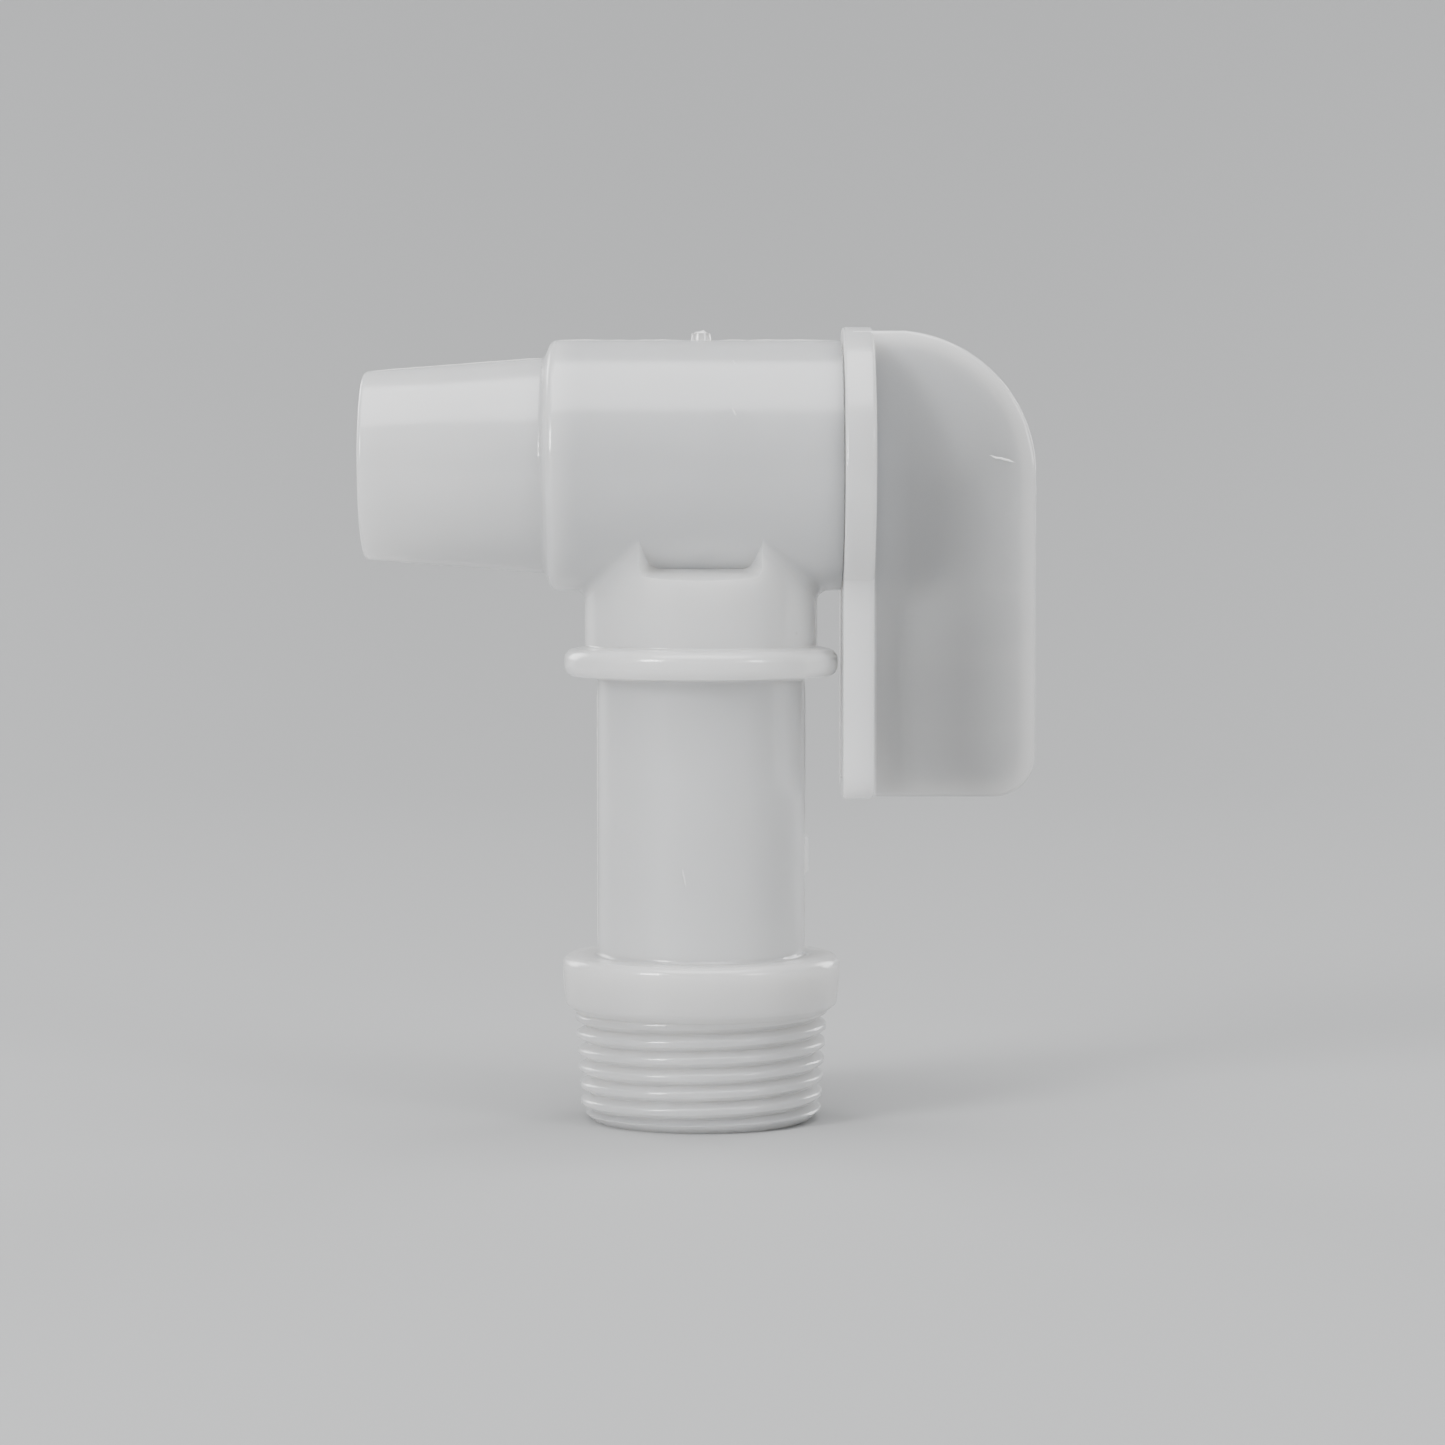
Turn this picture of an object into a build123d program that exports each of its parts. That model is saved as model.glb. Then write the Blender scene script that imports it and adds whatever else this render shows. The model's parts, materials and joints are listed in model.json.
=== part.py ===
from build123d import *

import os
from math import atan, cos, degrees, hypot, radians, sin, sqrt, tan

# Plastic drum faucet: a 3/4-14 pipe-thread inlet, an upright stem, a cross barrel with a
# tapered spout, and a hollow quarter-turn plug worked by a lever handle.
# Millimetres.  Origin: centre of the inlet end face.  +Z runs up the stem, +X runs along
# the barrel towards the handle, and the spout points along -X.

# ---- driving dimensions -------------------------------------------------------------

OVERLAP = 0.3                      # how far a joined shape is sunk into its neighbour
PAST = 1.0                         # how far a cutter runs past the face it cuts
ON_SURFACE = 0.03                  # how near counts as lying on a surface

# inlet thread
PITCH = 25.4 / 14
INLET_BORE_R = 8.6
END_FACE_R = 11.6
THREAD_LEAD_Z = 1.1                # height of the lead-in chamfer
CREST_R_LOW = 12.92                # crest radius at the lead-in
CREST_R_HIGH = 13.6                # crest radius at the top of the thread
THREAD_TOP_Z = 11.6
THREAD_DEPTH = 1.05
THREAD_END_Z = 12.5                # the ridge runs out inside the collar
THREAD_EMBED = 0.4                 # how far the ridge is rooted in the wall
THREAD_START_Z = -0.7              # sets where the crests fall; the end face cuts it off
CREST_ROUNDING = 0.24
SMALLEST_TURN_MM3 = 1.0            # a sliver left by the split is dropped
END_FACE_CHAMFER = 0.35
ROOT_ROUNDING = 0.2

# collar, stem, bead ring and neck
COLLAR_R = 14.95
COLLAR_FOOT_R = 14.65
COLLAR_BOTTOM_Z = 12.6
COLLAR_TOP_Z = 17.8
COLLAR_TOP_ROUNDING = 0.9
COLLAR_FOOT_ROUNDING = 0.6
STEM_R = 11.15
STEM_TOP_Z = 47.7
STEM_END_ROUNDING = 0.45           # where the stem meets collar and ring
RING_R = 14.7
RING_RIM_HALF = 1.35
RING_ROUNDING = 1.15
RING_Z = 49.25
NECK_R = 12.5
NECK_BASE_Z = 51.05
NECK_FILLET_R = 1.1                # where the neck runs into the barrel

# barrel and spout, both turned about the barrel axis
AXIS_Z = 70.4
BARREL_R = 13.4
BARREL_BORE_R = 11.4
BARREL_LEFT_X = -16.7
BARREL_LEFT_SLOPE = 0.75           # length of the sloping shoulder above the spout
BARREL_LEFT_ROUNDING = 0.9
BARREL_RIGHT_ROUNDING = 0.15
BARREL_RIGHT_X = 15.0
BARREL_SHOULDER_X = -14.5          # inner shoulder where the bore steps down
SPOUT_ROOT_R = 11.53
SPOUT_TIP_R = 10.04
SPOUT_TIP_X = -36.1
SPOUT_ROUNDING = 0.5
SPOUT_BORE_ROOT_R = 9.5
SPOUT_BORE_TIP_R = 8.2

# the port between stem and barrel, and the pockets that keep the walls even
PORT_R = 4.9
SEAL_SEAT_R = 6.7
SEAL_SEAT_Z = 57.5
BORE_SHOULDER_Z = 55.2             # where the inlet bore starts to narrow
BORE_NARROW_Z = 57.0
POCKET_FLOOR_Y = 7.0               # depth at which the next two are measured
POCKET_HALF_WIDTH = 4.75
POCKET_LEDGE_Z = 59.6
POCKET_MOUTH_Y = 14.0
POCKET_SIDE_DRAFT = 25             # degrees
POCKET_LEDGE_DRAFT = 14
POCKET_CORNER_R = 0.8

# plug
RUNNING_GAP = 0.05                 # radial clearance of the plug and of each seal
PLUG_R = BARREL_BORE_R - RUNNING_GAP
PLUG_BORE_R = 8.0
PLUG_LEFT_X = -14.2
PLUG_FLOOR_X = 11.2                # end wall of the plug's hollow
PLUG_FLOOR_ROUNDING = 1.0
PLUG_PORT_R = 5.4
CORD_D = 1.5                       # section of both O-rings
GLAND_WIDTH = 1.9
GLAND_XS = {"o_ring_spout_side": -9.6, "o_ring_handle_side": 8.4}
SNAP_X = -12.7                     # snap bead that keeps the plug in the barrel
SNAP_RISE = 0.3
SNAP_BEAD_WIDTH = 1.2
SNAP_CLEARANCE = 0.1
SNAP_GROOVE_MOUTH = 1.5
SNAP_GROOVE_FLOOR = 0.7
BORE_CHAMFER = 0.4                 # plug's entry to the barrel, and the plug's leading edge
KEY_HALF_WIDTH = 2.6               # flat key that drives the handle
KEY_HALF_HEIGHT = 8.5
KEY_TIP_X = 23.0

# handle
HANDLE_BACK_X = 15.1
PLATE_THICKNESS = 3.25
PLATE_FRONT_X = HANDLE_BACK_X + PLATE_THICKNESS
PLATE_FRONT_ROUNDING = 0.5
PLATE_BACK_ROUNDING = 0.25
DISC_R = 14.8
ARM_HALF_WIDTH = 8.4
ARM_REACH = 35.4                   # barrel axis to the arm's end
ARM_CORNER_R = 2.6
GRIP_HALF_THICKNESS = 4.6
GRIP_WALL = 1.7
GRIP_ROUNDING = 0.45
GRIP_TOP = 14.25                   # above the barrel axis
GRIP_REACH = 35.3
GRIP_OUTER_X = 35.65
GRIP_ARC_R = 15.3
GRIP_ARC_CENTRE_X = 20.35
GRIP_ARC_DROP = 1.0                # arc centre, below the barrel axis
GRIP_CORNER_R = 4.4
GRIP_RIB_DROPS = (13.0, 20.5, 28.0)
GRIP_RIB_THICKNESS = 1.3
GRIP_RIB_SETBACK = 0.8             # the ribs stop this far inside the back of the plate

# moulding marks
GATE_R = 1.15
GATE_TIP_R = 1.0
GATE_HEIGHT = 0.7
PARTING_RIB_Z = (26.4, 30.7)
PARTING_RIB_RISE = 0.4
PARTING_RIB_WIDTH = 0.5
PARTING_RIB_CHAMFER = 0.35

BARREL_AXIS = Axis((0, 0, AXIS_Z), (1, 0, 0))


# ---- helpers ------------------------------------------------------------------------

def turned_about_stem(corners):
    """Solid of revolution about Z; each corner is (radius, height, rounding)."""
    points = [(radius, 0, height) for radius, height, _ in corners]
    outline = FilletPolyline(*points, radius=[corner[2] for corner in corners], close=True)
    return revolve(make_face(outline), Axis.Z)


def turned_about_barrel(corners):
    """Solid of revolution about the barrel axis; each corner is (x, radius, rounding)."""
    points = [(x, 0, AXIS_Z + radius) for x, radius, _ in corners]
    outline = FilletPolyline(*points, radius=[corner[2] for corner in corners], close=True)
    return revolve(make_face(outline), BARREL_AXIS)


def rod_along_x(radius, x_low, x_high):
    """Plain cylinder on the barrel axis."""
    return Pos((x_low + x_high) / 2, 0, AXIS_Z) * Rot(0, 90, 0) * Cylinder(radius, x_high - x_low)


def upright_rod(radius, z_low, z_high):
    """Plain cylinder on the stem axis."""
    return Pos(0, 0, (z_low + z_high) / 2) * Cylinder(radius, z_high - z_low)


def block(x_span, y_span, z_span):
    """Box between the given limits."""
    size = [high - low for low, high in (x_span, y_span, z_span)]
    centre = [(high + low) / 2 for low, high in (x_span, y_span, z_span)]
    return Pos(*centre) * Box(*size)


# ---- faucet body --------------------------------------------------------------------

def crest_radius(z):
    """Radius of the thread's crests at height z: a straight taper."""
    slope = (CREST_R_HIGH - CREST_R_LOW) / (THREAD_TOP_Z - THREAD_LEAD_Z)
    return CREST_R_LOW + slope * (z - THREAD_LEAD_Z)


def thread_turns():
    """Right-hand tapered ridge with rounded crests, split into half turns from inlet to collar."""
    taper = degrees(atan((CREST_R_HIGH - CREST_R_LOW) / (THREAD_TOP_Z - THREAD_LEAD_Z)))
    root_r = crest_radius(THREAD_START_Z) - THREAD_DEPTH - THREAD_EMBED
    path = Helix(PITCH, THREAD_END_Z - THREAD_START_Z, root_r,
                 center=(0, 0, THREAD_START_Z), cone_angle=taper)
    base_half = PITCH * 0.46
    crest_half = PITCH * 0.16
    crest_x = THREAD_EMBED + THREAD_DEPTH
    profile = make_face(FilletPolyline(
        (0, -base_half), (THREAD_EMBED, -base_half), (crest_x, -crest_half),
        (crest_x, crest_half), (THREAD_EMBED, base_half), (0, base_half),
        radius=[0, 0, CREST_ROUNDING, CREST_ROUNDING, 0, 0], close=True))
    start = path @ 0
    section = Plane(origin=start, x_dir=(start.X, start.Y, 0), z_dir=path % 0)
    ridge = sweep(section * profile, path, is_frenet=True)
    reach = 2 * COLLAR_R
    half_turns = []
    for y_span in ((0, reach), (-reach, 0)):
        half_turns += (ridge & block((-reach, reach), y_span, (-reach, reach))).solids()
    whole = [turn for turn in half_turns if turn.volume > SMALLEST_TURN_MM3]
    return sorted(whole, key=lambda turn: turn.center().Z)


def lead_in():
    """What the lead-in chamfer and the end face leave of the thread."""
    slope = (CREST_R_LOW - END_FACE_R) / THREAD_LEAD_Z
    outer_r = COLLAR_R + PAST
    full_z = (outer_r - END_FACE_R) / slope
    return turned_about_stem([
        (0, 0, 0), (END_FACE_R, 0, 0), (outer_r, full_z, 0), (outer_r, AXIS_Z, 0), (0, AXIS_Z, 0)])


def stem_outside():
    """Everything turned about the stem: thread core, collar, stem, bead ring and neck."""
    core_low = crest_radius(THREAD_LEAD_Z) - THREAD_DEPTH
    core_high = crest_radius(THREAD_TOP_Z) - THREAD_DEPTH
    return turned_about_stem([
        (0, 0, 0),
        (core_low - END_FACE_CHAMFER, 0, ROOT_ROUNDING),
        (core_low, THREAD_LEAD_Z, 0),
        (core_high, THREAD_TOP_Z, ROOT_ROUNDING),
        (CREST_R_HIGH, THREAD_TOP_Z + ROOT_ROUNDING, 0),
        (COLLAR_FOOT_R, COLLAR_BOTTOM_Z, COLLAR_FOOT_ROUNDING),
        (COLLAR_R, COLLAR_TOP_Z, COLLAR_TOP_ROUNDING),
        (STEM_R, COLLAR_TOP_Z, STEM_END_ROUNDING),
        (STEM_R, STEM_TOP_Z, STEM_END_ROUNDING),
        (RING_R, RING_Z - RING_RIM_HALF, RING_ROUNDING),
        (RING_R, RING_Z + RING_RIM_HALF, RING_ROUNDING),
        (NECK_R, NECK_BASE_Z, ROOT_ROUNDING),
        (NECK_R, AXIS_Z, 0),
        (0, AXIS_Z, 0)])


def barrel_outside():
    """Barrel, its sloping left shoulder and the tapered spout."""
    return turned_about_barrel([
        (BARREL_RIGHT_X, 0, 0),
        (BARREL_RIGHT_X, BARREL_R, BARREL_RIGHT_ROUNDING),
        (BARREL_LEFT_X + BARREL_LEFT_SLOPE, BARREL_R, BARREL_LEFT_ROUNDING),
        (BARREL_LEFT_X, SPOUT_ROOT_R, SPOUT_ROUNDING),
        (SPOUT_TIP_X, SPOUT_TIP_R, SPOUT_ROUNDING),
        (SPOUT_TIP_X, 0, 0)])


def pocket_window(depth):
    """Outline of the front pocket at a depth in front of the axes: wider and lower further out."""
    out = depth - POCKET_FLOOR_Y
    half_width = POCKET_HALF_WIDTH + out * tan(radians(POCKET_SIDE_DRAFT))
    ledge_z = POCKET_LEDGE_Z - out * tan(radians(POCKET_LEDGE_DRAFT))
    frame = Plane(origin=(0, -depth, AXIS_Z), x_dir=(1, 0, 0), z_dir=(0, -1, 0))
    return frame * RectangleRounded(2 * half_width, 2 * (AXIS_Z - ledge_z), POCKET_CORNER_R)


def wall_pockets():
    """Drafted pockets front and back, which follow the barrel's outside down to a ledge."""
    front = loft([pocket_window(POCKET_FLOOR_Y), pocket_window(POCKET_MOUTH_Y)])
    pockets = front + mirror(front, Plane.XZ)
    return pockets - rod_along_x(BARREL_R, BARREL_LEFT_X, BARREL_RIGHT_X)


def waterway():
    """Inlet bore, narrowing to the port, then the barrel bore and the tapered spout bore."""
    inlet = turned_about_stem([
        (0, -PAST, 0), (INLET_BORE_R, -PAST, 0), (INLET_BORE_R, BORE_SHOULDER_Z, SPOUT_ROUNDING),
        (PORT_R, BORE_NARROW_Z, SPOUT_ROUNDING), (PORT_R, AXIS_Z, 0), (0, AXIS_Z, 0)])
    seal_seat = upright_rod(SEAL_SEAT_R, SEAL_SEAT_Z, AXIS_Z)
    snap_groove_r = PLUG_R + SNAP_RISE + SNAP_CLEARANCE
    bore = turned_about_barrel([
        (BARREL_RIGHT_X + PAST, 0, 0),
        (BARREL_RIGHT_X + PAST, BARREL_BORE_R + BORE_CHAMFER, 0),
        (BARREL_RIGHT_X, BARREL_BORE_R + BORE_CHAMFER, 0),
        (BARREL_RIGHT_X - BORE_CHAMFER, BARREL_BORE_R, 0),
        (SNAP_X + SNAP_GROOVE_MOUTH / 2, BARREL_BORE_R, 0),
        (SNAP_X + SNAP_GROOVE_FLOOR / 2, snap_groove_r, 0),
        (SNAP_X - SNAP_GROOVE_FLOOR / 2, snap_groove_r, 0),
        (SNAP_X - SNAP_GROOVE_MOUTH / 2, BARREL_BORE_R, 0),
        (BARREL_SHOULDER_X, BARREL_BORE_R, 0),
        (BARREL_SHOULDER_X, SPOUT_BORE_ROOT_R, 0),
        (SPOUT_TIP_X, SPOUT_BORE_TIP_R, 0),
        (SPOUT_TIP_X - PAST, SPOUT_BORE_TIP_R, 0),
        (SPOUT_TIP_X - PAST, 0, 0)])
    return inlet + seal_seat + bore


def gate_nub():
    """Stub left by the injection gate on top of the barrel."""
    return Pos(0, 0, AXIS_Z + BARREL_R - OVERLAP) * Cone(
        GATE_R, GATE_TIP_R, GATE_HEIGHT + OVERLAP, align=(Align.CENTER, Align.CENTER, Align.MIN))


def parting_rib():
    """Short raised stretch of the mould's parting line, on the handle side of the stem."""
    low, high = PARTING_RIB_Z
    rib = block((STEM_R - OVERLAP, STEM_R + PARTING_RIB_RISE),
                (-PARTING_RIB_WIDTH / 2, PARTING_RIB_WIDTH / 2), (low, high))
    end_edges = rib.faces().sort_by(Axis.X)[-1].edges().filter_by(Axis.Y)
    return chamfer(end_edges, PARTING_RIB_CHAMFER)


def joins_neck_to_barrel(edge):
    """True for the edge that lies on both the neck and the barrel."""
    points = [edge @ t for t in (0.1, 0.35, 0.5, 0.8)]
    return all(abs(hypot(point.X, point.Y) - NECK_R) < ON_SURFACE
               and abs(hypot(point.Y, point.Z - AXIS_Z) - BARREL_R) < ON_SURFACE
               for point in points)


def faucet_body():
    stem = stem_outside()
    for turn in thread_turns():
        stem += turn
    stem &= lead_in()
    outside = stem + barrel_outside()
    outside = fillet(outside.edges().filter_by(joins_neck_to_barrel), NECK_FILLET_R)
    outside += gate_nub() + parting_rib()
    return outside - wall_pockets() - waterway()


# ---- plug and seals -----------------------------------------------------------------

def rotor_plug():
    """Hollow cup, open to the spout, with a side port, two O-ring glands and a drive key."""
    gland_floor_r = PLUG_R - CORD_D
    bead_half = SNAP_BEAD_WIDTH / 2
    corners = [(PLUG_LEFT_X, PLUG_BORE_R, 0), (PLUG_LEFT_X, PLUG_R - BORE_CHAMFER, 0),
               (PLUG_LEFT_X + BORE_CHAMFER, PLUG_R, 0), (SNAP_X - bead_half, PLUG_R, 0),
               (SNAP_X, PLUG_R + SNAP_RISE, 0), (SNAP_X + bead_half, PLUG_R, 0)]
    for gland_x in sorted(GLAND_XS.values()):
        low, high = gland_x - GLAND_WIDTH / 2, gland_x + GLAND_WIDTH / 2
        corners += [(low, PLUG_R, 0), (low, gland_floor_r, 0),
                    (high, gland_floor_r, 0), (high, PLUG_R, 0)]
    corners += [(HANDLE_BACK_X, PLUG_R, 0), (HANDLE_BACK_X, 0, 0),
                (PLUG_FLOOR_X, 0, 0), (PLUG_FLOOR_X, PLUG_BORE_R, PLUG_FLOOR_ROUNDING)]
    plug = turned_about_barrel(corners)
    plug += block((HANDLE_BACK_X - OVERLAP, KEY_TIP_X), (-KEY_HALF_WIDTH, KEY_HALF_WIDTH),
                  (AXIS_Z - KEY_HALF_HEIGHT, AXIS_Z + KEY_HALF_HEIGHT))
    return plug - upright_rod(PLUG_PORT_R, AXIS_Z - PLUG_R - PAST, AXIS_Z)


def o_ring(x):
    """O-ring seated on its gland floor, just clear of the barrel bore."""
    return Pos(x, 0, AXIS_Z) * Rot(0, 90, 0) * Torus(PLUG_R - CORD_D / 2, CORD_D / 2)


def port_seal():
    """Ring in the seat round the inlet port, its top saddled to the plug."""
    ring = upright_rod(SEAL_SEAT_R, SEAL_SEAT_Z, AXIS_Z) - upright_rod(PORT_R, 0, AXIS_Z + PAST)
    return ring - rod_along_x(BARREL_BORE_R, BARREL_LEFT_X, BARREL_RIGHT_X)


# ---- lever handle -------------------------------------------------------------------

def handle_plate():
    """Round root disc that runs into a straight arm with rounded corners."""
    disc = rod_along_x(DISC_R, HANDLE_BACK_X, PLATE_FRONT_X)
    arm = block((HANDLE_BACK_X, PLATE_FRONT_X), (-ARM_HALF_WIDTH, ARM_HALF_WIDTH),
                (AXIS_Z - ARM_REACH, AXIS_Z))
    arm_end_edges = arm.faces().sort_by(Axis.Z)[0].edges().filter_by(Axis.X)
    arm = fillet(arm_end_edges, ARM_CORNER_R)
    plate = disc + arm
    plate = fillet(plate.faces().sort_by(Axis.X)[-1].outer_wire().edges(), PLATE_FRONT_ROUNDING)
    return fillet(plate.faces().sort_by(Axis.X)[0].outer_wire().edges(), PLATE_BACK_ROUNDING)


def grip_profile(inset, x_low):
    """Side outline of the grip, offset inwards by the inset and running back to x_low."""
    arc_centre_z = AXIS_Z - GRIP_ARC_DROP
    arc_r = GRIP_ARC_R - inset
    top = AXIS_Z + GRIP_TOP - inset
    right = GRIP_OUTER_X - inset
    bottom = AXIS_Z - GRIP_REACH + inset
    corner_r = GRIP_CORNER_R - inset
    arc_top_x = GRIP_ARC_CENTRE_X + sqrt(arc_r**2 - (top - arc_centre_z)**2)
    mid = radians(42)
    arc_mid = (GRIP_ARC_CENTRE_X + arc_r * cos(mid), 0, arc_centre_z + arc_r * sin(mid))
    arc_end_z = arc_centre_z + sqrt(max(arc_r**2 - (right - GRIP_ARC_CENTRE_X)**2, 0))
    turn = corner_r * (1 - cos(radians(45)))
    edges = [
        Line((x_low, 0, top), (arc_top_x, 0, top)),
        ThreePointArc((arc_top_x, 0, top), arc_mid, (right, 0, arc_end_z)),
        Line((right, 0, arc_end_z), (right, 0, bottom + corner_r)),
        ThreePointArc((right, 0, bottom + corner_r), (right - turn, 0, bottom + turn),
                      (right - corner_r, 0, bottom)),
        Line((right - corner_r, 0, bottom), (x_low, 0, bottom)),
        Line((x_low, 0, bottom), (x_low, 0, top))]
    return make_face(edges)


def grip_slab(inset, x_low, half_thickness):
    """Slab of the grip's outline."""
    return extrude(grip_profile(inset, x_low), amount=half_thickness, both=True)


def lever_handle():
    """Plate with a hollow grip, open to the back and stiffened by cross ribs."""
    grip = grip_slab(0, HANDLE_BACK_X + PAST, GRIP_HALF_THICKNESS)
    long_edges = grip.edges().filter_by(
        lambda edge: edge.center().X > PLATE_FRONT_X
        and abs(abs(edge.center().Y) - GRIP_HALF_THICKNESS) < ON_SURFACE)
    grip = fillet(long_edges, GRIP_ROUNDING)
    handle = handle_plate() + grip
    hollow_half = GRIP_HALF_THICKNESS - GRIP_WALL
    hollow = grip_slab(GRIP_WALL, HANDLE_BACK_X - PAST, hollow_half)
    for drop in GRIP_RIB_DROPS:
        rib_z = AXIS_Z - drop
        hollow -= block((HANDLE_BACK_X + GRIP_RIB_SETBACK, GRIP_OUTER_X), (-hollow_half, hollow_half),
                        (rib_z - GRIP_RIB_THICKNESS / 2, rib_z + GRIP_RIB_THICKNESS / 2))
    return handle - hollow


# ---- write the pieces ---------------------------------------------------------------

def main():
    os.makedirs("parts", exist_ok=True)
    pieces = {
        "faucet_body": faucet_body(),
        "port_seal": port_seal(),
        "rotor_plug": rotor_plug(),
        "lever_handle": lever_handle(),
    }
    for name, x in GLAND_XS.items():
        pieces[name] = o_ring(x)
    for name, piece in pieces.items():
        export_step(piece, f"parts/{name}.step")


main()
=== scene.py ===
import json
import math

import bmesh
import bpy
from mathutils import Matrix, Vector, noise
from mathutils.bvhtree import BVHTree


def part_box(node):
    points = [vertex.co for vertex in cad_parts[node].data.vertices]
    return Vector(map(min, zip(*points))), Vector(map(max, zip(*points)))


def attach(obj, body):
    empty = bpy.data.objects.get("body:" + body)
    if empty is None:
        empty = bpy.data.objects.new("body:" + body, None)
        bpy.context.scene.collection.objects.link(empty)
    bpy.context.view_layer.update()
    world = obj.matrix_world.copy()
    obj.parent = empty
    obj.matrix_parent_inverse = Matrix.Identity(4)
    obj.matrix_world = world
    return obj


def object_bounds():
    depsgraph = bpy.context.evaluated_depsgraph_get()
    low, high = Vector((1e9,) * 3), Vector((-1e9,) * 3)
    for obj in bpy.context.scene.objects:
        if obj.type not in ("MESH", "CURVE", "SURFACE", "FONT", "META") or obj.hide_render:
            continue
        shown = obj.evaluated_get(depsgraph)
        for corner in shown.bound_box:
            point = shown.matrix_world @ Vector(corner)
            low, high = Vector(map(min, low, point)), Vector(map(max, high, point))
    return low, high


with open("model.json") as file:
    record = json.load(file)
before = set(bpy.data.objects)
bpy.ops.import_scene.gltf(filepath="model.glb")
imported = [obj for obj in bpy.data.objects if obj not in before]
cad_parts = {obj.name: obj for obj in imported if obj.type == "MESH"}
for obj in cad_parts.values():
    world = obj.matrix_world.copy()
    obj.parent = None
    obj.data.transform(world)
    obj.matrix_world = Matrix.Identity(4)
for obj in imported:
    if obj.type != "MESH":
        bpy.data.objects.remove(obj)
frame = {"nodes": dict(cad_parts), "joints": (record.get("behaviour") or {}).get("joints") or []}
cad_low, cad_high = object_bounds()

MM = 0.001

# ---- places worked out from the frame -----------------------------------------------

handle_low, handle_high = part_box("lever_handle")
AXIS_Z = frame["joints"][0]["pos_m"][2]                 # height of the barrel axis
PLATE_FRONT_X = handle_low.x + 3.25 * MM                # the arm is a plate; the grip stands on it
GRIP_ARC_X, GRIP_ARC_Z = 20.35 * MM, AXIS_Z - 1.0 * MM  # middle of the grip's rounded corner
GRIP_ARC_R = 15.3 * MM
HUB_FOOT_Z = 54.5 * MM                                  # below this the plate is only the arm
COLLAR_TOP_Z = 17.8 * MM


# ---- small helpers ------------------------------------------------------------------

def smooth_object(name, bm):
    """A smooth-shaded mesh object made from a bmesh."""
    mesh = bpy.data.meshes.new(name)
    bm.to_mesh(mesh)
    bm.free()
    for face in mesh.polygons:
        face.use_smooth = True
    piece = bpy.data.objects.new(name, mesh)
    bpy.context.scene.collection.objects.link(piece)
    return piece


def new_object(name, bm, body):
    """A smooth-shaded mesh object that rides on a body."""
    piece = smooth_object(name, bm)
    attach(piece, body)
    return piece


def finish_with(piece, material):
    """Gives a piece its material."""
    piece.data.materials.clear()
    piece.data.materials.append(material)


def grey(level):
    """A neutral colour."""
    return (level, level, level)


def steps(low, high, count):
    """Evenly spaced numbers."""
    return [low + (high - low) * i / (count - 1) for i in range(count)]


# ---- materials ----------------------------------------------------------------------

class Nodes:
    """Builds one node material, a node and its links at a time."""

    def __init__(self, name):
        self.material = bpy.data.materials.new(name)
        self.material.use_nodes = True
        self.tree = self.material.node_tree
        self.shader = self.tree.nodes["Principled BSDF"]
        self.place = self.add("ShaderNodeTexCoord").outputs["Object"]

    def add(self, kind, **values):
        """A node with its settings, and its inputs set to numbers or linked to outputs."""
        node = self.tree.nodes.new(kind)
        for key, value in values.items():
            if hasattr(node, key):
                setattr(node, key, value)
            else:
                self.feed(node.inputs[key.replace("_", " ")], value)
        return node

    def feed(self, socket, value):
        """Sets one input, or links an output to it."""
        if isinstance(value, bpy.types.NodeSocket):
            self.tree.links.new(value, socket)
        else:
            socket.default_value = value

    def surface(self, **values):
        """Sets or links the shader's own inputs."""
        for key, value in values.items():
            self.feed(self.shader.inputs[key.replace("_", " ")], value)

    def stretched(self, scale):
        """The place on the object, scaled along each axis."""
        return self.add("ShaderNodeMapping", Vector=self.place, Scale=scale).outputs["Vector"]

    def noise(self, scale, detail=3.0, roughness=0.5, vector=None):
        """Cloudy noise from 0 to 1; scale is in features per metre."""
        node = self.add("ShaderNodeTexNoise", Vector=vector or self.place, Scale=scale,
                        Detail=detail, Roughness=roughness)
        return node.outputs["Fac"]

    def spread(self, value, low, high, out_low, out_high):
        """Maps a range of values to another, clamped."""
        node = self.add("ShaderNodeMapRange", Value=value, From_Min=low, From_Max=high,
                        To_Min=out_low, To_Max=out_high)
        return node.outputs["Result"]

    def calc(self, operation, *values):
        """One calculation with numbers or outputs."""
        node = self.add("ShaderNodeMath", operation=operation)
        for socket, value in zip(node.inputs, values):
            self.feed(socket, value)
        return node.outputs["Value"]

    def tint(self, amount, colour_a, colour_b):
        """Mixes two colours by an amount."""
        node = self.add("ShaderNodeMix", data_type="RGBA", Factor=amount)
        for name, colour in (("A", colour_a), ("B", colour_b)):
            socket = next(s for s in node.inputs if s.name == name and s.type == "RGBA")
            is_output = isinstance(colour, bpy.types.NodeSocket)
            self.feed(socket, colour if is_output else (*colour, 1))
        return next(s for s in node.outputs if s.type == "RGBA")

    def bump(self, height, distance, below=None):
        """A bump over an earlier one; distance is the relief's depth in metres."""
        node = self.add("ShaderNodeBump", Height=height, Distance=distance, Strength=1.0)
        if below is not None:
            self.feed(node.inputs["Normal"], below)
        return node.outputs["Normal"]


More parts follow.
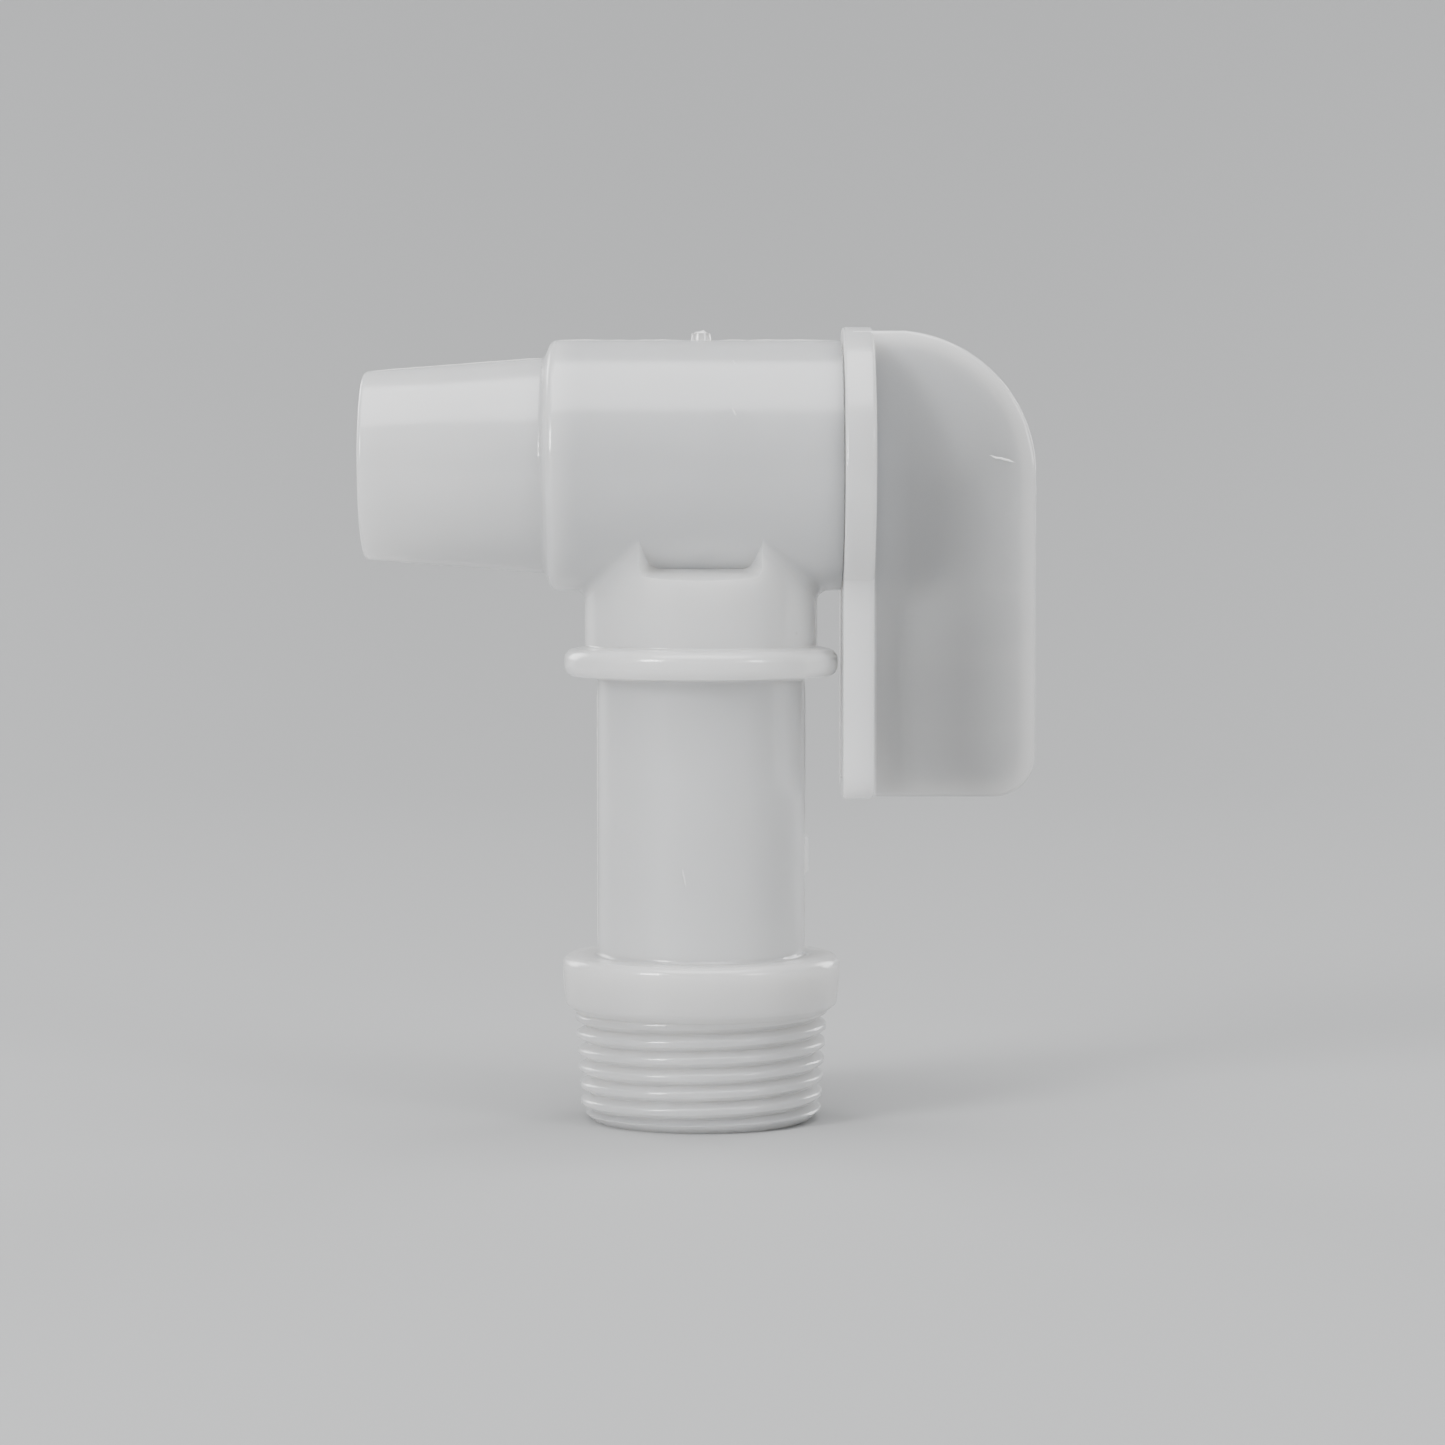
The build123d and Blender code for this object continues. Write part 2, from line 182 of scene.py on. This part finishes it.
def handle_painted_light_and_shade(n, colour):
    """Painted shade on the grip's thin-walled sides, and painted light on the arm's solid edge."""
    edge_fade, top_fade, foot_fade, plate_fade = 8 * MM, 18 * MM, 5 * MM, 4 * MM
    dim_low, dim_high = 47 * MM, 72 * MM                # heights between which the painted shade deepens
    place = n.add("ShaderNodeSeparateXYZ", Vector=n.place)
    x, z = place.outputs["X"], place.outputs["Z"]
    right = n.calc("MAXIMUM", n.calc("SUBTRACT", x, GRIP_ARC_X), 0.0)
    up = n.calc("MAXIMUM", n.calc("SUBTRACT", z, GRIP_ARC_Z), 0.0)
    squares = n.calc("ADD", n.calc("MULTIPLY", right, right), n.calc("MULTIPLY", up, up))
    corner_reach = n.calc("SQRT", squares)

    # The painted shade fades out towards the rounded corner, the outer edge, the top and the foot.
    depth = n.spread(corner_reach, GRIP_ARC_R - edge_fade, GRIP_ARC_R, 1.0, 0.35)
    for fade in (n.spread(x, handle_high.x - edge_fade, handle_high.x, 1.0, 0.65),
                 n.spread(z, handle_high.z - top_fade, handle_high.z, 1.0, 0.0),
                 n.spread(z, handle_low.z, handle_low.z + foot_fade, 0.8, 1.0)):
        depth = n.calc("SMOOTH_MIN", depth, fade, 0.2)
    on_grip = n.spread(x, PLATE_FRONT_X + 0.1 * MM, PLATE_FRONT_X + 0.4 * MM, 0.0, 1.0)
    painted_shade_amount = n.calc("MULTIPLY", on_grip, depth)

    # Painted light beside the plate, against the shadow the plate casts; painted shade deepens
    # outwards and low down.
    outwards = n.spread(x, PLATE_FRONT_X + plate_fade, PLATE_FRONT_X + 14 * MM, 0.0, 1.0)
    across = n.tint(outwards, grey(0.53), grey(0.39))
    beside_plate = n.spread(x, PLATE_FRONT_X, PLATE_FRONT_X + plate_fade, 1.0, 0.0)
    deep = n.tint(beside_plate, across, grey(0.76))
    low_down = n.spread(z, dim_low, dim_high, 0.32, 0.0)
    gripped = n.tint(painted_shade_amount, colour, n.tint(low_down, deep, grey(0.0)))

    # Painted light: the arm's edge below the hub is lightened almost to white.
    on_plate = n.calc("SUBTRACT", 1.0, on_grip)
    below_hub = n.spread(z, HUB_FOOT_Z, HUB_FOOT_Z + plate_fade, 1.0, 0.0)
    on_arm = n.calc("MULTIPLY", on_plate, below_hub)
    return n.tint(on_arm, gripped, grey(0.97))


def body_painted_shade(n, colour):
    """Painted shade: the collar and the thread, heavier than the thin walls above, are darkened."""
    height = n.add("ShaderNodeSeparateXYZ", Vector=n.place).outputs["Z"]
    collar_painted_shade = n.spread(height, COLLAR_TOP_Z - 0.6 * MM, COLLAR_TOP_Z + 0.8 * MM, 0.55, 0.0)
    return n.tint(collar_painted_shade, colour, grey(0.60))


def polyethylene(name, pale, deep, flow, shade=None, translucent=1.0):
    """Natural polyethylene: milky and waxy, with clouding, flow lines, specks and orange peel.

    flow is the flow lines' fineness along each axis, and shade paints light and shade into the
    plastic's colour by place.
    """
    n = Nodes(name)
    cloud = n.noise(70, detail=2)
    streaks = n.noise(1.0, detail=4, roughness=0.6, vector=n.stretched(flow))
    milky = n.tint(n.spread(cloud, 0.35, 0.65, 0.0, 1.0), pale, deep)
    flowed = n.tint(n.spread(streaks, 0.45, 0.8, 0.0, 0.35), milky, deep)
    # Painted light and shade by place, where a shade function is given.
    shaded = shade(n, flowed) if shade else flowed

    specks = n.add("ShaderNodeTexVoronoi", Vector=n.place, Scale=210, Randomness=1.0)
    dot = n.spread(specks.outputs["Distance"], 0.03, 0.09, 0.55, 0.0)
    rare = n.spread(n.noise(260, detail=0), 0.66, 0.72, 0.0, 1.0)
    coloured = n.tint(n.calc("MULTIPLY", rare, dot), shaded, (0.30, 0.29, 0.27))

    scuffs = n.noise(160, detail=4, roughness=0.6)
    waviness = n.bump(n.noise(110, detail=1), 0.10 * MM)
    drawn = n.bump(streaks, 0.02 * MM, waviness)
    peel = n.bump(n.noise(1100, detail=1), 0.003 * MM, drawn)
    n.surface(Base_Color=coloured, Roughness=n.spread(scuffs, 0.35, 0.75, 0.15, 0.24), Normal=peel,
              Subsurface_Weight=translucent, Subsurface_Radius=(1.0, 0.96, 0.90),
              Subsurface_Scale=10 * MM, IOR=1.51, Specular_IOR_Level=0.9)
    return n.material


def seal_rubber():
    """Smooth black rubber with a fine moulded grain and a dusty bloom."""
    n = Nodes("seal_rubber")
    bloom = n.spread(n.noise(600, detail=3), 0.4, 0.7, 0.0, 1.0)
    n.surface(Base_Color=n.tint(bloom, (0.012, 0.012, 0.013), (0.035, 0.035, 0.036)),
              Roughness=n.spread(n.noise(900), 0.3, 0.7, 0.42, 0.60),
              Normal=n.bump(n.noise(3200, detail=2), 0.01 * MM), IOR=1.52)
    return n.material


def dress_cad_nodes():
    """Finer materials on the CAD nodes; their meshes stay as they are."""
    plastics = {
        "faucet_body": polyethylene("natural_pe_body", (0.80, 0.80, 0.79), (0.75, 0.75, 0.745),
                                    (90, 90, 14), body_painted_shade),
        "lever_handle": polyethylene("natural_pe_handle", (0.80, 0.80, 0.79), (0.745, 0.745, 0.74),
                                     (40, 220, 18), handle_painted_light_and_shade),
        "rotor_plug": polyethylene("natural_pe_plug", (0.77, 0.77, 0.76), (0.71, 0.715, 0.71),
                                   (14, 90, 90)),
    }
    rubber = seal_rubber()
    for name, node in frame["nodes"].items():
        plastic = plastics.get(name)
        finish_with(node, plastic or rubber)


# ---- marks of moulding and handling -------------------------------------------------

def surface_of(node):
    """The node's surface, for finding places on it."""
    place = node.matrix_world
    points = [place @ vertex.co for vertex in node.data.vertices]
    return BVHTree.FromPolygons(points, [tuple(face.vertices) for face in node.data.polygons])


def hits(surface, starts, towards):
    """Where rays meet the surface: a list of points and outward normals."""
    found = []
    for start in starts:
        point, normal, _, _ = surface.ray_cast(start, towards)
        if point is not None:
            found.append((point, normal))
    return found


def fine_ridge(name, body, material, path, across, width, height):
    """A hair-thin raised line along points on a surface, a little uneven, tapering to nothing."""
    end_points = 3                                      # points over which an end tapers
    bm = bmesh.new()
    rows = []
    for i, (point, normal) in enumerate(path):
        taper = min(1.0, (i + 0.3) / end_points, (len(path) - i - 0.7) / end_points)
        uneven = 0.85 + 0.5 * noise.noise(point * 900)
        side = across.normalized() * (width / 2 * taper)
        sunk = normal * (-0.3 * height)
        rows.append([bm.verts.new(point + side + sunk),
                     bm.verts.new(point + normal * (height * taper * uneven)),
                     bm.verts.new(point - side + sunk)])
    for low, high in zip(rows, rows[1:]):
        for k in range(2):
            bm.faces.new((low[k], high[k], high[k + 1], low[k + 1]))
        bm.faces.new((low[2], high[2], high[0], low[0]))
    bm.faces.new(rows[0])
    bm.faces.new(rows[-1][::-1])
    bmesh.ops.recalc_face_normals(bm, faces=bm.faces)
    finish_with(new_object(name, bm, body), material)


def parting_lines(material):
    """The mould halves met in the plane of the stem and barrel: a faint line is left there."""
    surface = surface_of(frame["nodes"]["faucet_body"])
    above, below, beside = 100 * MM, 20 * MM, 30 * MM   # clear of the body on each side
    # For each side: a ray's start at a place along the line, and where it points.
    sides = {
        "above": (lambda x: Vector((x, 0, above)), Vector((0, 0, -1))),
        "below": (lambda x: Vector((x, 0, below)), Vector((0, 0, 1))),
        "left": (lambda z: Vector((-beside, 0, z)), Vector((1, 0, 0))),
        "right": (lambda z: Vector((beside, 0, z)), Vector((-1, 0, 0))),
    }
    spout, collar, stem = (-35.6, -17.2), (13.4, 16.9), (18.4, 47.0)
    gate, rib = (-1.6, 1.6), (26.2, 30.9)               # the lines stop at these
    width, height = 0.24 * MM, 0.09 * MM
    # For each line: its side, its stretch in mm and its number of points.
    lines = {
        "parting_line_spout_top": ("above", spout, 40),
        "parting_line_barrel_left": ("above", (-15.6, gate[0]), 30),
        "parting_line_barrel_right": ("above", (gate[1], 14.4), 28),
        "parting_line_spout_below": ("below", spout, 40),
        "parting_line_stem_left": ("left", stem, 60),
        "parting_line_stem_right": ("right", (stem[0], rib[0]), 18),
        "parting_line_stem_upper": ("right", (rib[1], stem[1]), 34),
        "parting_line_collar_left": ("left", collar, 10),
        "parting_line_collar_right": ("right", collar, 10),
    }
    for name, (side, (low, high), count) in lines.items():
        start_at, towards = sides[side]
        path = hits(surface, [start_at(along * MM) for along in steps(low, high, count)], towards)
        fine_ridge(name, "housing", material, path, Vector((0, 1, 0)), width, height)


def gate_tear(material):
    """The ragged top of the gate stub, where the runner was twisted off."""
    tear_r, rings, spokes = 0.96 * MM, 5, 18
    surface = surface_of(frame["nodes"]["faucet_body"])
    top, _ = hits(surface, [Vector((0, 0, cad_high.z + 10 * MM))], Vector((0, 0, -1)))[0]
    bm = bmesh.new()
    grid = []
    for ring in range(rings + 1):
        out = ring / rings
        row = []
        for spoke in range(spokes):
            turn = 2 * math.pi * spoke / spokes
            place = Vector((tear_r * out * math.cos(turn), tear_r * out * math.sin(turn), 0))
            lump = 0.20 + 0.42 * noise.noise(place * 1600 + Vector((3.1, 0.4, 0)))
            place.z = (lump * (1 - out ** 3) - 0.03) * MM
            row.append(bm.verts.new(top + place))
        grid.append(row)
    for inner, outer in zip(grid, grid[1:]):
        for spoke in range(spokes):
            after = (spoke + 1) % spokes
            bm.faces.new((inner[spoke], outer[spoke], outer[after], inner[after]))
    bmesh.ops.remove_doubles(bm, verts=bm.verts, dist=1e-7)
    bmesh.ops.holes_fill(bm, edges=[edge for edge in bm.edges if edge.is_boundary])
    bmesh.ops.recalc_face_normals(bm, faces=bm.faces)
    finish_with(new_object("gate_tear", bm, "housing"), material)


def nicks(material):
    """A few short burrs from handling: one on the grip, two on the barrel, one on the stem."""
    # Name, node, body, start and end as x and z in mm, width in mm.
    marks = [
        ("nick_grip", "lever_handle", "valve_plug", (30.6, 71.4), (33.4, 70.7), 0.34),
        ("nick_barrel_a", "faucet_body", "housing", (3.3, 76.2), (3.7, 75.4), 0.30),
        ("nick_barrel_b", "faucet_body", "housing", (3.3, 81.5), (3.6, 80.9), 0.26),
        ("nick_stem", "faucet_body", "housing", (-1.9, 27.9), (-1.5, 25.9), 0.30),
    ]
    count, relief, in_front = 12, 0.02 * MM, -30 * MM
    towards = Vector((0, 1, 0))
    for name, node, body, start, end, width in marks:
        surface = surface_of(frame["nodes"][node])
        line = zip(steps(start[0], end[0], count), steps(start[1], end[1], count))
        wander = [0.12 * noise.noise(Vector((7 * i, width * 50, 0)) * 0.07) for i in range(count)]
        starts = [Vector((x * MM, in_front, (z + w) * MM)) for (x, z), w in zip(line, wander)]
        path = hits(surface, starts, towards)
        along = path[-1][0] - path[0][0]
        fine_ridge(name, body, material, path, along.cross(towards), width * MM, relief)


# ---- floor, light and camera --------------------------------------------------------

def floor_and_backdrop():
    """A pale floor that curves up into a backdrop behind the object."""
    half_width, front, back, height, bend, bend_steps = 6.0, -6.0, 1.0, 1.6, 0.5, 16
    profile = [(front, 0.0), (back - bend, 0.0)]
    for i in range(1, bend_steps + 1):
        angle = math.pi / 2 * i / bend_steps
        profile.append((back - bend + bend * math.sin(angle), bend - bend * math.cos(angle)))
    profile.append((back, height))
    bm = bmesh.new()
    left, right = [[bm.verts.new((x, y, z)) for y, z in profile] for x in (-half_width, half_width)]
    for i in range(len(profile) - 1):
        bm.faces.new((left[i], right[i], right[i + 1], left[i + 1]))
    floor = smooth_object("floor", bm)
    n = Nodes("pale_floor")
    n.surface(Base_Color=(0.43, 0.435, 0.44, 1), Roughness=0.65)
    floor.data.materials.append(n.material)


def soft_light(name, azimuth, elevation, size, watts):
    """Area light aimed at the object; azimuth 0 is the camera's side, positive to the right."""
    aim, distance = Vector((0.002, 0, 0.045)), 1.0
    turn, rise = math.radians(azimuth), math.radians(elevation)
    level = math.cos(rise)
    towards = Vector((math.sin(turn) * level, -math.cos(turn) * level, math.sin(rise)))
    data = bpy.data.lights.new(name, "AREA")
    data.shape = "RECTANGLE"
    data.size, data.size_y = size
    data.energy = watts
    light = bpy.data.objects.new(name, data)
    bpy.context.scene.collection.objects.link(light)
    light.location = aim + towards * distance
    light.rotation_euler = towards.to_track_quat("Z", "Y").to_euler()


def studio_light():
    """A broad soft top light, a key at the left, a fill at the right, two rims, a pale surround."""
    soft_light("key_left", -44, 22, (0.28, 0.32), 8)
    soft_light("fill_right", 47, 18, (0.22, 0.28), 3)
    for name, azimuth in (("rim_left", -138), ("rim_right", 138)):
        soft_light(name, azimuth, 16, (0.4, 0.5), 4)
    soft_light("top", 0, 80, (1.1, 1.1), 17)
    world = bpy.data.worlds.new("surround")
    bpy.context.scene.world = world
    world.use_nodes = True
    background = world.node_tree.nodes["Background"]
    background.inputs["Color"].default_value = (0.97, 0.98, 1.0, 1)
    background.inputs["Strength"].default_value = 0.10


def camera():
    """The view: square on, from a little below the barrel's axis, about 430 mm away."""
    distance, eye_height, frame_width, sensor = 0.430, 0.0641, 0.1556, 36.0
    aim = Vector((0.0023, 0, 0.0428))
    data = bpy.data.cameras.new("camera")
    view = bpy.data.objects.new("camera", data)
    bpy.context.scene.collection.objects.link(view)
    view.location = (aim.x, -distance, eye_height)
    towards = aim - view.location
    view.rotation_euler = towards.to_track_quat("-Z", "Y").to_euler()
    data.sensor_width = sensor
    data.lens = sensor * towards.length / frame_width
    data.clip_start, data.clip_end = 0.01, 20
    bpy.context.scene.camera = view


# ---- build --------------------------------------------------------------------------

dress_cad_nodes()
flash_plastic = polyethylene("flash_pe", (0.84, 0.84, 0.83), (0.78, 0.78, 0.77), (300, 300, 300),
                             translucent=0.0)
whitened_plastic = polyethylene("scuffed_pe", (0.97, 0.97, 0.965), (0.93, 0.93, 0.925),
                                (300, 300, 300), translucent=0.0)
parting_lines(flash_plastic)
gate_tear(whitened_plastic)
nicks(whitened_plastic)
floor_and_backdrop()
studio_light()
camera()
